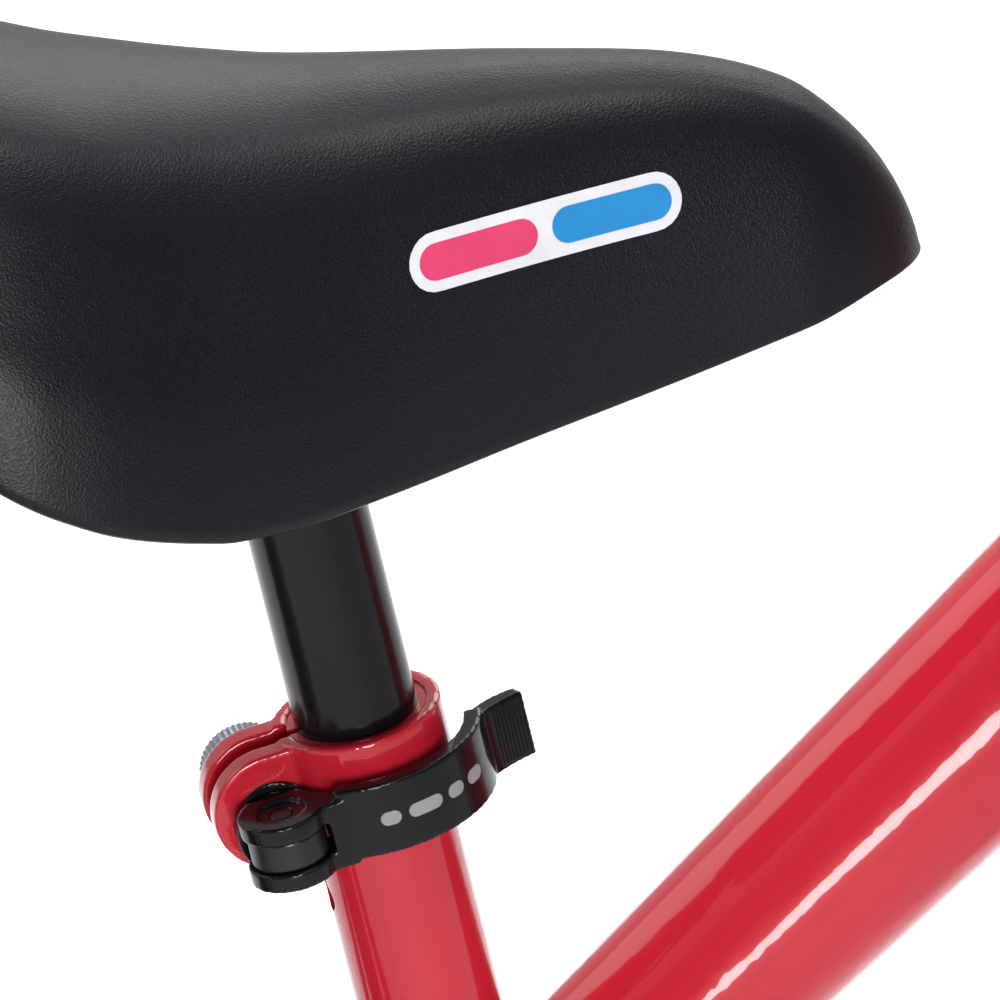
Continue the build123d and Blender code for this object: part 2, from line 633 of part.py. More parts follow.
def handlebar():
    points = bar_points()
    save("handlebar", swept(points, 32, BAR_RADIUS, BAR_BORE))
    for name, end, before in (("left", points[-1], points[-2]), ("right", points[0], points[1])):
        out = (end - before).normalized()
        start = end - out * GRIP_LENGTH
        grip = rod(start, end + out * 5, 15) + rod(start, start + out * 4, 20)
        grip += rod(end - out * 3, end + out * 5, 20)
        save(f"grip_{name}", grip - rod(start - out * 5, end, BAR_RADIUS + FIT))


os.makedirs("parts", exist_ok=True)
frame_tubes()
chainstays()
seat_clamp()
saddle()
headset()
fork()
axle_set("rear", REAR_AXLE)
axle_set("front", FRONT_AXLE)
wheel("rear", REAR_AXLE)
wheel("front", FRONT_AXLE)
stem()
handlebar()
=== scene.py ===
"""A balance bike's looks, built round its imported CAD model. Metres, +X forward, +Z up."""

import json
from math import cos, pi, radians, sin, sqrt

import bmesh
import bpy
from mathutils import Matrix, Vector
from mathutils.bvhtree import BVHTree


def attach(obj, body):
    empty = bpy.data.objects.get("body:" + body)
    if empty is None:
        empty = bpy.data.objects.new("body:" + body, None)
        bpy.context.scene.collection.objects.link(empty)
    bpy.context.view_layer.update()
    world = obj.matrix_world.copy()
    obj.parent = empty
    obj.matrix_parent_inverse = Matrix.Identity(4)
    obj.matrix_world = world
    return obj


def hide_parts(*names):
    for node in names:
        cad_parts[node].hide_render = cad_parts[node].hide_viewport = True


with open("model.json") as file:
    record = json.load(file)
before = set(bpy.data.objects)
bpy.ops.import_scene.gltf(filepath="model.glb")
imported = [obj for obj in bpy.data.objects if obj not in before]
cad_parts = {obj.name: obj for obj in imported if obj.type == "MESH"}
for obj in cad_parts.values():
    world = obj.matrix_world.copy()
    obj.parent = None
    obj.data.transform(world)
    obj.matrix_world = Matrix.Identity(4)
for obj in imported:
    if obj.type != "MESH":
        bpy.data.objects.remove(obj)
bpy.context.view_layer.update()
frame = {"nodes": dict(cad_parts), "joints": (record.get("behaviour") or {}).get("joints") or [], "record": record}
MM = 0.001

# The seat tube's frame, from the clamp lever's joint: forward, left and up along the tube
JOINTS = {joint["name"]: joint for joint in frame["joints"]}
SEAT_UP = -Vector(JOINTS["clamp_lever_open"]["axis"])
LEFT = Vector((0, 1, 0))
SEAT_FORWARD = LEFT.cross(SEAT_UP)
PIVOT_LOCAL = Vector((-22, -18, -15.2)) * MM
COLLAR_TOP = Vector(JOINTS["clamp_lever_open"]["pos_m"]) - (
    SEAT_FORWARD * PIVOT_LOCAL.x + LEFT * PIVOT_LOCAL.y + SEAT_UP * PIVOT_LOCAL.z
)


def seat_point(x, y, h):
    """A point in the seat tube's frame, given in millimetres."""
    return COLLAR_TOP + (SEAT_FORWARD * x + LEFT * y + SEAT_UP * h) * MM


# Camera and studio

CAMERA_AZIMUTH = radians(-13.0)
CAMERA_ELEVATION = radians(23.3)
# The view's width at the bike, and its middle's distance right of and above the collar's top
VIEW_WIDTH = 201.6 * MM
VIEW_RIGHT = 29.2 * MM
VIEW_UP = 42.0 * MM
SENSOR_WIDTH = 36.0
LENS = 1500.0


def camera():
    """Looks at the seat clamp and saddle from the bike's right, a little behind and above."""
    right = Vector((cos(CAMERA_AZIMUTH), sin(CAMERA_AZIMUTH), 0))
    level = Vector((sin(CAMERA_AZIMUTH), -cos(CAMERA_AZIMUTH), 0)) * cos(CAMERA_ELEVATION)
    back = level + Vector((0, 0, sin(CAMERA_ELEVATION)))
    up = back.cross(right)
    target = COLLAR_TOP + right * VIEW_RIGHT + up * VIEW_UP
    data = bpy.data.cameras.new("camera")
    data.sensor_width = SENSOR_WIDTH
    data.lens = LENS
    data.clip_end = 100.0
    distance = VIEW_WIDTH * LENS / SENSOR_WIDTH
    obj = bpy.data.objects.new("camera", data)
    rotation = Matrix((right, up, back)).transposed().to_4x4()
    obj.matrix_world = Matrix.Translation(target + back * distance) @ rotation
    bpy.context.collection.objects.link(obj)
    bpy.context.scene.camera = obj
    return target


# The room's strength in front and elsewhere, and between which Y directions it changes
FRONT_LIGHT = 0.14
ROOM_LIGHT = 0.55
FRONT_EDGE = -0.62
ROOM_EDGE = -0.18
FLOOR_REACH = 6.0


def area_light(name, place, target, size, power, spread=180):
    data = bpy.data.lights.new(name, "AREA")
    data.shape = "RECTANGLE"
    data.size, data.size_y = size
    data.energy = power
    data.spread = radians(spread)
    obj = bpy.data.objects.new(name, data)
    obj.location = place
    obj.rotation_euler = (Vector(target) - Vector(place)).to_track_quat("-Z", "Y").to_euler()
    bpy.context.collection.objects.link(obj)
    return obj


def world_light():
    """White all round, but dim in front, so that gloss black stays black towards the camera."""
    world = bpy.data.worlds.new("studio")
    world.use_nodes = True
    nodes, links = world.node_tree.nodes, world.node_tree.links
    background = nodes["Background"]
    background.inputs["Color"].default_value = (0.97, 0.98, 1.0, 1)
    coords = nodes.new("ShaderNodeTexCoord")
    parts = nodes.new("ShaderNodeSeparateXYZ")
    links.new(coords.outputs["Generated"], parts.inputs["Vector"])
    span = nodes.new("ShaderNodeMapRange")
    span.interpolation_type = "SMOOTHSTEP"
    span.inputs["From Min"].default_value = FRONT_EDGE
    span.inputs["From Max"].default_value = ROOM_EDGE
    span.inputs["To Min"].default_value = FRONT_LIGHT
    span.inputs["To Max"].default_value = ROOM_LIGHT
    links.new(parts.outputs["Y"], span.inputs["Value"])
    links.new(span.outputs["Result"], background.inputs["Strength"])
    bpy.context.scene.world = world


def studio(target):
    scene = bpy.context.scene
    scene.view_settings.view_transform = "Standard"
    scene.view_settings.look = "None"
    world_light()
    area_light("key_front", Vector((-0.3, -2.3, 0.52)), target, (0.8, 0.95), 4.2, 50)
    area_light("back_left", target + Vector((-1.3, 0.9, 1.0)), target, (1.5, 1.0), 1.5, 90)
    area_light("back_right", target + Vector((0.7, 1.5, 0.95)), target, (1.3, 0.8), 2.6, 90)
    area_light("overhead", target + Vector((0.2, -0.2, 1.6)), target, (1.2, 0.7), 3, 60)
    backdrop = area_light(
        "back_floor", Vector((0.0, 1.5, 2.2)), Vector((0.0, 0.9, 0.0)), (2.4, 1.2), 40, 120
    )
    backdrop.visible_glossy = False
    mesh = bpy.data.meshes.new("floor")
    corners = [Vector((x, y, 0)) * FLOOR_REACH for x, y in ((-1, -1), (1, -1), (1, 1), (-1, 1))]
    mesh.from_pydata(corners, [], [(0, 1, 2, 3)])
    floor = bpy.data.objects.new("floor", mesh)
    bpy.context.collection.objects.link(floor)
    floor.data.materials.append(new_material("floor", (0.8, 0.8, 0.81), 0.8))


# Materials


def new_material(name, colour, roughness, metallic=0.0):
    material = bpy.data.materials.new(name)
    material.use_nodes = True
    shader = material.node_tree.nodes["Principled BSDF"]
    shader.inputs["Base Color"].default_value = (*colour, 1)
    shader.inputs["Roughness"].default_value = roughness
    shader.inputs["Metallic"].default_value = metallic
    return material


def tree(material):
    nodes = material.node_tree.nodes
    return nodes, material.node_tree.links, nodes["Principled BSDF"]


def noise(nodes, links, scale, detail):
    """Noise over the object's own coordinates, in metres."""
    coords = nodes.new("ShaderNodeTexCoord")
    texture = nodes.new("ShaderNodeTexNoise")
    texture.inputs["Scale"].default_value = scale
    texture.inputs["Detail"].default_value = detail
    links.new(coords.outputs["Object"], texture.inputs["Vector"])
    return texture


def ramp(nodes, links, source, low, high, at=(0.3, 0.7)):
    node = nodes.new("ShaderNodeValToRGB")
    node.color_ramp.elements[0].position, node.color_ramp.elements[1].position = at
    node.color_ramp.elements[0].color = (*low, 1)
    node.color_ramp.elements[1].color = (*high, 1)
    links.new(source, node.inputs["Fac"])
    return node.outputs["Color"]


def grey(value):
    return (value, value, value)


def bump(nodes, links, shader, height, distance, strength):
    node = nodes.new("ShaderNodeBump")
    node.inputs["Distance"].default_value = distance
    node.inputs["Strength"].default_value = strength
    links.new(height, node.inputs["Height"])
    links.new(node.outputs["Normal"], shader.inputs["Normal"])


def enamel(name, colour, deep, roughness, gloss, coat):
    """Glossy paint under a clear coat, with faint orange peel."""
    material = new_material(name, colour, roughness)
    nodes, links, shader = tree(material)
    shader.inputs["Specular IOR Level"].default_value = gloss
    shader.inputs["Coat Weight"].default_value = coat
    shader.inputs["Coat Roughness"].default_value = 0.05
    shader.inputs["Coat IOR"].default_value = 1.5
    shade = noise(nodes, links, 14, 2)
    links.new(ramp(nodes, links, shade.outputs["Fac"], deep, colour), shader.inputs["Base Color"])
    rough = noise(nodes, links, 90, 4)
    low, high = grey(roughness * 0.8), grey(roughness * 1.35)
    links.new(ramp(nodes, links, rough.outputs["Fac"], low, high), shader.inputs["Roughness"])
    peel = noise(nodes, links, 260, 1)
    bump(nodes, links, shader, peel.outputs["Fac"], 0.00006, 0.5)
    return material


def leather():
    """Fine pebbled synthetic leather."""
    material = new_material("saddle_skin", (0.008, 0.008, 0.011), 0.42)
    nodes, links, shader = tree(material)
    shader.inputs["Specular IOR Level"].default_value = 0.26
    coords = nodes.new("ShaderNodeTexCoord")
    warp = noise(nodes, links, 500, 2)
    cells = nodes.new("ShaderNodeTexVoronoi")
    cells.feature = "SMOOTH_F1"
    cells.inputs["Scale"].default_value = 1900
    cells.inputs["Smoothness"].default_value = 0.8
    offset = nodes.new("ShaderNodeVectorMath")
    offset.operation = "MULTIPLY_ADD"
    offset.inputs[1].default_value = (0.0008, 0.0008, 0.0008)
    links.new(warp.outputs["Color"], offset.inputs[0])
    links.new(coords.outputs["Object"], offset.inputs[2])
    links.new(offset.outputs["Vector"], cells.inputs["Vector"])
    fine = noise(nodes, links, 3200, 3)
    mix = nodes.new("ShaderNodeMix")
    mix.data_type = "FLOAT"
    mix.inputs["Factor"].default_value = 0.4
    links.new(cells.outputs["Distance"], mix.inputs["A"])
    links.new(fine.outputs["Fac"], mix.inputs["B"])
    bump(nodes, links, shader, mix.outputs["Result"], 0.00022, 0.6)
    rough = ramp(nodes, links, mix.outputs["Result"], grey(0.46), grey(0.34), (0.2, 0.8))
    links.new(rough, shader.inputs["Roughness"])
    cloud = noise(nodes, links, 26, 4)
    dark, light = (0.0018, 0.002, 0.0038), (0.003, 0.0034, 0.0062)
    shade = ramp(nodes, links, cloud.outputs["Fac"], dark, light)
    links.new(shade, shader.inputs["Base Color"])
    return material


def printed(name, colour):
    """Vinyl or ink: nearly flat colour with a faint mottle."""
    material = new_material(name, colour, 0.38)
    nodes, links, shader = tree(material)
    mottle = noise(nodes, links, 160, 4)
    dim = tuple(c * 0.88 for c in colour)
    links.new(ramp(nodes, links, mottle.outputs["Fac"], dim, colour), shader.inputs["Base Color"])
    bump(nodes, links, shader, mottle.outputs["Fac"], 0.00004, 0.3)
    return material


def metal(name, colour, roughness):
    material = new_material(name, colour, roughness, 1.0)
    nodes, links, shader = tree(material)
    lines = noise(nodes, links, 600, 3)
    low, high = grey(roughness * 0.75), grey(roughness * 1.4)
    links.new(ramp(nodes, links, lines.outputs["Fac"], low, high), shader.inputs["Roughness"])
    stain = noise(nodes, links, 45, 4)
    dark = tuple(c * 0.82 for c in colour)
    links.new(ramp(nodes, links, stain.outputs["Fac"], dark, colour), shader.inputs["Base Color"])
    bump(nodes, links, shader, lines.outputs["Fac"], 0.00003, 0.4)
    return material


def plain(name, colour, roughness):
    """Moulded rubber or plastic: matt, with a fine grain and a little unevenness."""
    material = new_material(name, colour, roughness)
    nodes, links, shader = tree(material)
    cloud = noise(nodes, links, 24, 5)
    light = tuple(min(1, c * 1.5 + 0.002) for c in colour)
    links.new(ramp(nodes, links, cloud.outputs["Fac"], colour, light), shader.inputs["Base Color"])
    fine = noise(nodes, links, 900, 3)
    low, high = grey(roughness * 0.88), grey(min(1, roughness * 1.12))
    links.new(ramp(nodes, links, fine.outputs["Fac"], low, high), shader.inputs["Roughness"])
    bump(nodes, links, shader, fine.outputs["Fac"], 0.00008, 0.5)
    return material


MATERIALS = {
    "red_paint": enamel("red_paint", (0.47, 0.014, 0.028), (0.43, 0.011, 0.023), 0.22, 0.1, 0.8),
    "black_paint": enamel(
        "black_paint", (0.006, 0.006, 0.007), (0.003, 0.003, 0.004), 0.16, 0.2, 0.08
    ),
    "black_steel": enamel(
        "black_steel", (0.009, 0.009, 0.01), (0.005, 0.005, 0.006), 0.32, 0.4, 0.0
    ),
    "bright_steel": metal("bright_steel", (0.62, 0.62, 0.64), 0.28),
    "nut_grey": metal("nut_grey", (0.34, 0.38, 0.42), 0.42),
    "black_alloy": metal("black_alloy", (0.03, 0.03, 0.032), 0.34),
    "tyre": plain("tyre", (0.012, 0.012, 0.012), 0.78),
    "tube_rubber": plain("tube_rubber", (0.015, 0.015, 0.015), 0.6),
    "grip_rubber": plain("grip_rubber", (0.013, 0.013, 0.013), 0.7),
    "saddle_skin": leather(),
    "saddle_plastic": plain("saddle_plastic", (0.012, 0.012, 0.012), 0.5),
}
PRINT_WHITE = printed("print_white", (0.66, 0.66, 0.7))
PRINT_PINK = printed("print_pink", (0.62, 0.045, 0.13))
PRINT_BLUE = printed("print_blue", (0.012, 0.22, 0.52))
PRINT_GREY = printed("print_grey", (0.24, 0.24, 0.25))
SLOT_OF = {part["node"]: part["material_slot"] for part in frame["record"]["subparts"]}
BODY_OF = {
    node: body for body, nodes in frame["record"]["behaviour"]["bodies"].items() for node in nodes
}


def finish_nodes():
    """Gives every CAD node the procedural material of its slot."""
    for node, obj in frame["nodes"].items():
        for slot in obj.material_slots:
            slot.material = MATERIALS[SLOT_OF[node]]


def add_piece(name, mesh, body, slot, material=None):
    """Links a new piece, rides it on its body and gives it its slot's material."""
    obj = bpy.data.objects.new(name, mesh)
    bpy.context.collection.objects.link(obj)
    obj.data.materials.clear()
    obj.data.materials.append(material or MATERIALS[slot])
    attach(obj, body)
    return obj


def smooth(obj):
    for polygon in obj.data.polygons:
        polygon.use_smooth = True


def apply_modifiers(obj):
    """Bakes the modifiers into the piece's own mesh."""
    bpy.context.view_layer.update()
    graph = bpy.context.evaluated_depsgraph_get()
    shaped = bpy.data.meshes.new_from_object(obj.evaluated_get(graph))
    obj.modifiers.clear()
    obj.data = shaped


def grid_mesh(name, rows, closed_rows=False, closed_columns=False, caps=False):
    """A mesh through rows of points, joined round either way, with flat ends if asked."""
    bm = bmesh.new()
    grid = [[bm.verts.new(point) for point in row] for row in rows]
    pairs = list(zip(grid, grid[1:])) + ([(grid[-1], grid[0])] if closed_rows else [])
    count = len(grid[0])
    for low, high in pairs:
        for k in range(count if closed_columns else count - 1):
            j = (k + 1) % count
            bm.faces.new((low[k], low[j], high[j], high[k]))
    if caps:
        bm.faces.new(list(reversed(grid[0])))
        bm.faces.new(grid[-1])
    bmesh.ops.recalc_face_normals(bm, faces=bm.faces)
    mesh = bpy.data.meshes.new(name)
    bm.to_mesh(mesh)
    bm.free()
    return mesh


def side_axes(axis):
    """Two directions square to an axis."""
    first = axis.cross(Vector((0, 0, 1)))
    if first.length < 0.1:
        first = axis.cross(Vector((1, 0, 0)))
    first.normalize()
    return first, axis.cross(first).normalized()


def turned(origin, axis, profile, segments):
    """Rows of a turned shape: profile is a closed loop of (along, radius) in millimetres."""
    first, second = side_axes(axis)
    rows = []
    for k in range(segments):
        angle = 2 * pi * k / segments
        out = first * cos(angle) + second * sin(angle)
        rows.append([origin + (axis * along + out * radius) * MM for along, radius in profile])
    return rows


def ring_along(points, radius_at, sides=10):
    """Rows of a closed tube through a loop of points; radius_at gives metres at each point."""
    rows = []
    count = len(points)
    for k, point in enumerate(points):
        tangent = (points[(k + 1) % count] - points[k - 1]).normalized()
        first, second = side_axes(tangent)
        radius = radius_at(k)
        rows.append([
            point + (first * cos(2 * pi * j / sides) + second * sin(2 * pi * j / sides)) * radius
            for j in range(sides)
        ])
    return rows


def surface_tree(obj):
    return BVHTree.FromPolygons(
        [vertex.co for vertex in obj.data.vertices], [list(p.vertices) for p in obj.data.polygons]
    )


# Saddle


def follow(table, x):
    """A smooth curve through (x, value) pairs, with no overshoot between them."""
    xs = [point[0] for point in table]
    ys = [point[1] for point in table]
    if x <= xs[0]:
        return ys[0]
    if x >= xs[-1]:
        return ys[-1]
    slopes = [(ys[i + 1] - ys[i]) / (xs[i + 1] - xs[i]) for i in range(len(xs) - 1)]
    tangents = [slopes[0]]
    for before, after in zip(slopes, slopes[1:]):
        tangents.append(0.0 if before * after <= 0 else 2 * before * after / (before + after))
    tangents.append(slopes[-1])
    i = max(k for k in range(len(xs) - 1) if xs[k] <= x)
    width = xs[i + 1] - xs[i]
    t = (x - xs[i]) / width
    return (
        (2 * t ** 3 - 3 * t ** 2 + 1) * ys[i]
        + (t ** 3 - 2 * t ** 2 + t) * width * tangents[i]
        + (-2 * t ** 3 + 3 * t ** 2) * ys[i + 1]
        + (t ** 3 - t ** 2) * width * tangents[i + 1]
    )


# Millimetres forward of the collar's top, and above it
SADDLE_TAIL, SADDLE_NOSE = -126.0, 116.6
TAIL_ROUND, NOSE_ROUND = 52.0, 30.0
SADDLE_WIDTH = [
    (-126, 65), (-70, 64), (-35, 55.5), (0, 43), (35, 32), (70, 24.5), (95, 21), (117, 18.5),
]
SADDLE_TOP = [
    (-126, 135), (-122, 146), (-114, 153.5), (-102, 156), (-88, 153.8), (-69, 149.2), (-57, 146),
    (-44, 143.8), (-28, 141.4), (-10, 139.7), (5, 139.3), (22, 138.9), (45.6, 137.6),
    (62, 136.2), (74, 133.9), (90, 128), (102, 118.3), (110, 108), (113.5, 101),
    (115.5, 95.5), (116.6, 91.5),
]
SADDLE_HEM = [
    (-126, 117), (-120, 109), (-112, 101), (-100, 91.5), (-88, 82.9), (-80, 78.2), (-71.5, 74.1),
    (-63, 70.6), (-54, 67.8), (-45, 65.5), (-36, 63.8), (-22, 63.6), (-7, 65.0), (28, 70.5),
    (60, 76.8), (90, 84.5), (107, 89.6), (116.6, 91.0),
]

# How far out (share of the half width) at each share of the height, at the tail and at the nose
TAIL_PROFILE = [(1, 0), (0.975, 0.16), (0.93, 0.33), (0.85, 0.49), (0.765, 0.65), (0.68, 0.79),
                (0.56, 0.905), (0.4, 0.965), (0.2, 0.995), (0, 1)]
NOSE_PROFILE = [(1, 0), (0.985, 0.16), (0.95, 0.33), (0.88, 0.52), (0.77, 0.71), (0.63, 0.86),
                (0.45, 0.95), (0.25, 0.985), (0.1, 0.998), (0, 1)]


SADDLE_ROWS, SADDLE_COLUMNS = 150, 96
LIP_ROWS = 4
HELD_ROWS = 8                 # over which the skin's hold at the hem fades away
CLOTH_FRAMES = 12
SWELL_LIMIT = 1.2 * MM


def saddle_half_width(x):
    ends = 1.0
    if x < SADDLE_TAIL + TAIL_ROUND:
        ends = sqrt(max(0, 1 - ((SADDLE_TAIL + TAIL_ROUND - x) / TAIL_ROUND) ** 2))
    if x > SADDLE_NOSE - NOSE_ROUND:
        ends = sqrt(max(0, 1 - ((x - SADDLE_NOSE + NOSE_ROUND) / NOSE_ROUND) ** 2))
    return follow(SADDLE_WIDTH, x) * ends


def saddle_surface(x, turn):
    """A point of the saddle's skin: turn runs from -1, the right hem, over the top to 1."""
    nose = min(1, max(0, (x + 60) / 90))
    # The half section is walked evenly: the flank first, then over the crown
    along = 1 - abs(turn)
    tall, wide = section_at(along, nose)
    side = 1 if turn > 0 else -1
    half = saddle_half_width(x)
    hem = follow(SADDLE_HEM, x)
    top = follow(SADDLE_TOP, x)
    return COLLAR_TOP + Vector((x, side * half * wide, hem + (top - hem) * tall)) * MM


def section_at(along, nose):
    """Share of the height and of the half width, at a share of the way from hem to top.

    nose is 0 for the tail's section and 1 for the nose's. The points are joined by a smooth
    curve, which goes straight on below the hem and is mirrored past the top.
    """
    steps = len(TAIL_PROFILE) - 1
    position = along * steps
    index = min(int(position), steps - 1)
    t = position - index

    def pick(table, k, item):
        if k < 0:
            return 2 * table[0][item] - table[1][item] if item == 1 else table[0][0]
        if k > steps:
            return table[steps - 1][1] if item == 1 else -table[steps - 1][0]
        return table[k][item]

    def curve(table, item):
        a, b, c, d = (pick(table, index + k, item) for k in (-1, 0, 1, 2))
        return 0.5 * (
            2 * b + (c - a) * t + (2 * a - 5 * b + 4 * c - d) * t * t
            + (3 * b - a - 3 * c + d) * t ** 3
        )

    wide = curve(TAIL_PROFILE, 0) * (1 - nose) + curve(NOSE_PROFILE, 0) * nose
    tall = curve(TAIL_PROFILE, 1) * (1 - nose) + curve(NOSE_PROFILE, 1) * nose
    return tall, wide


def stretch_skin(cover, columns):
    """Cloth under light pressure: the skin swells a little over its foam, held at the hem."""
    mesh = cover.data
    rest = [vertex.co.copy() for vertex in mesh.vertices]
    held = cover.vertex_groups.new(name="held")
    for index in range(len(rest)):
        column = index % columns
        inset = min(column, columns - 1 - column) - LIP_ROWS
        held.add([index], 1.0 if inset < 1 else max(0.0, 1 - inset / HELD_ROWS), "REPLACE")
    cloth = cover.modifiers.new("cloth", "CLOTH")
    settings = cloth.settings
    settings.quality = 4
    settings.mass = 0.4
    settings.tension_stiffness = 40
    settings.compression_stiffness = 40
    settings.shear_stiffness = 20
    settings.bending_stiffness = 4
    settings.vertex_group_mass = "held"
    settings.use_pressure = True
    settings.uniform_pressure_force = 3
    settings.effector_weights.gravity = 0
    for number in range(1, CLOTH_FRAMES + 1):
        bpy.context.scene.frame_set(number)
    graph = bpy.context.evaluated_depsgraph_get()
    moved = [vertex.co.copy() for vertex in cover.evaluated_get(graph).data.vertices]
    cover.modifiers.remove(cloth)
    bpy.context.scene.frame_set(1)
    for vertex, start, end in zip(mesh.vertices, rest, moved):
        shift = end - start
        if shift.length > SWELL_LIMIT:
            shift *= SWELL_LIMIT / shift.length
        vertex.co = start + shift


def saddle():
    """The padded saddle: skin over foam, a hem rolled under and a hollow underside."""
    rows, columns = SADDLE_ROWS, SADDLE_COLUMNS
    bm = bmesh.new()
    grid = []
    for row in range(rows + 1):
        share = 0.5 - 0.5 * cos(pi * row / rows)
        x = SADDLE_TAIL + (SADDLE_NOSE - SADDLE_TAIL) * (0.0005 + 0.999 * share)
        ring = [saddle_surface(x, -1 + 2 * column / columns) for column in range(columns + 1)]
        centre = COLLAR_TOP + Vector((x, 0, follow(SADDLE_HEM, x))) * MM
        depth = follow(SADDLE_TOP, x) - follow(SADDLE_HEM, x)
        room = min(1, depth / 30)
        # How far in and up from the edge each row of the rolled hem lies
        lip = []
        for inward, rise in ((1.2, -0.9), (2.6, -0.4), (3.4, 2.0 * room), (4.2, 12.0 * room)):
            pair = []
            for edge in (ring[0], ring[-1]):
                toward = centre - edge
                inset = min(inward * MM, toward.length * 0.2 * inward)
                pair.append(edge + toward.normalized() * inset + Vector((0, 0, rise * MM)))
            lip.append(pair)
        left_lip = [pair[1] for pair in lip]
        right_lip = [pair[0] for pair in reversed(lip)]
        grid.append([bm.verts.new(point) for point in right_lip + ring + left_lip])
    width = len(grid[0])
    for low, high in zip(grid, grid[1:]):
        for k in range(width - 1):
            bm.faces.new((low[k], low[k + 1], high[k + 1], high[k]))
        bm.faces.new((low[-1], low[0], high[0], high[-1]))
    bm.faces.new(grid[0])
    bm.faces.new(list(reversed(grid[-1])))
    bmesh.ops.recalc_face_normals(bm, faces=bm.faces)
    mesh = bpy.data.meshes.new("saddle_cover")
    bm.to_mesh(mesh)
    bm.free()
    cover = add_piece("saddle_cover", mesh, "seat", "saddle_skin")
    smooth(cover)
    stretch_skin(cover, width)
    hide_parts("saddle_cushion")
    return cover


# Printed graphics


def bar_outline(start, end, radius, steps_along=28, steps_across=6):
    """A flat round-ended bar as a grid of (along, across) points about its own line."""
    length = end - start
    rows = []
    for i in range(steps_along + 1):
        share = 0.5 - 0.5 * cos(pi * i / steps_along)
        along = length * share
        near = min(along, length - along)
        half = radius if near >= radius else sqrt(max(0, radius ** 2 - (radius - near) ** 2))
        half = max(half, radius * 0.02)
        rows.append([
            (start + along, half * (2 * j / steps_across - 1)) for j in range(steps_across + 1)
        ])
    return rows


def sheet_solid(name, rows, normal_at, low, high):
    """A thin closed solid: a grid of points with a skin lifted to two heights in metres."""
    top = [[point + normal_at(point) * high for point in row] for row in rows]
    under = [[point + normal_at(point) * low for point in row] for row in rows]
    loops = [over + list(reversed(below)) for over, below in zip(top, under)]
    return grid_mesh(name, loops, closed_columns=True, caps=True)


LABEL_START = COLLAR_TOP + Vector((5.0, 0, 110.2)) * MM
LABEL_SLOPE = 0.085


def saddle_sticker(cover):
    """A plain two-colour label on the saddle's right side: a pink and a blue bar on white."""
    skin = surface_tree(cover)
    run = Vector((1, 0, LABEL_SLOPE)).normalized()
    rise = Vector((-run.z, 0, run.x))

    def on_skin(along, across):
        place = LABEL_START + (run * along + rise * across) * MM
        hit = skin.ray_cast(place - LEFT * 0.2, LEFT)
        return hit[0]

    def outward(point):
        normal = skin.find_nearest(point)[1]
        return normal if normal.y < 0 else -normal

    for name, first, last, radius, lift, material in (
        ("sticker_edge", -1.6, 57.6, 5.8, 0.12, PRINT_WHITE),
        ("sticker_pink", 0.6, 26.4, 3.6, 0.2, PRINT_PINK),
        ("sticker_blue", 29.6, 55.4, 3.6, 0.2, PRINT_BLUE),
    ):
        rows = [[on_skin(*spot) for spot in row] for row in bar_outline(first, last, radius)]
        mesh = sheet_solid(name, rows, outward, -0.15 * MM, lift * MM)
        add_piece(name, mesh, "seat", "saddle_skin", material)


STRAP_RADIUS = 24.6
STRAP_MIDDLE = -13.9
DASH_RADIUS = 1.5
# Degrees round the collar where each dash starts and ends
DASHES = ((-98, -88), (-84, -66), (-62, -52), (-48, -36))


def lever_print():
    """Four plain dashes on the lever's outer face."""
    def outward(point):
        offset = point - COLLAR_TOP
        return (offset - SEAT_UP * offset.dot(SEAT_UP)).normalized()

    for index, (start, end) in enumerate(DASHES):
        arc = radians(end - start) * STRAP_RADIUS
        rows = []
        for row in bar_outline(0, arc, DASH_RADIUS, 16, 4):
            rows.append([])
            for along, across in row:
                angle = radians(start) + along / STRAP_RADIUS
                x, y = STRAP_RADIUS * cos(angle), STRAP_RADIUS * sin(angle)
                rows[-1].append(seat_point(x, y, STRAP_MIDDLE + across))
        mesh = sheet_solid(f"lever_dash_{index + 1}", rows, outward, -0.3 * MM, 0.06 * MM)
        add_piece(f"lever_dash_{index + 1}", mesh, "lever", "black_paint", PRINT_GREY)


# Clamp


def softened(node, voxel, passes):
    """A copy of a CAD piece with its edges and inner corners rounded, which stands for it."""
    mesh = frame["nodes"][node].data.copy()
    bm = bmesh.new()
    bm.from_mesh(mesh)
    bmesh.ops.remove_doubles(bm, verts=bm.verts, dist=0.002 * MM)
    bm.to_mesh(mesh)
    bm.free()
    piece = add_piece(f"{node}_finished", mesh, BODY_OF[node], SLOT_OF[node])
    remesh = piece.modifiers.new("remesh", "REMESH")
    remesh.mode = "VOXEL"
    remesh.voxel_size = voxel * MM
    relax = piece.modifiers.new("relax", "SMOOTH")
    relax.factor = 0.5
    relax.iterations = passes
    apply_modifiers(piece)
    piece.data.materials.clear()
    piece.data.materials.append(MATERIALS[SLOT_OF[node]])
    smooth(piece)
    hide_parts(node)
    return piece


# The lever's ridged pad: forward and left of the tube's axis, then its lower and upper edge
PAD_START = (26.9, -2.0)
PAD_END = (33.3, 0.9)
PAD_LOW, PAD_HIGH = -21.3, -8.7
PAD_RIDGES = 9
RIDGE_HALF_WIDTH = 0.27
RIDGE_HEIGHT = 0.3


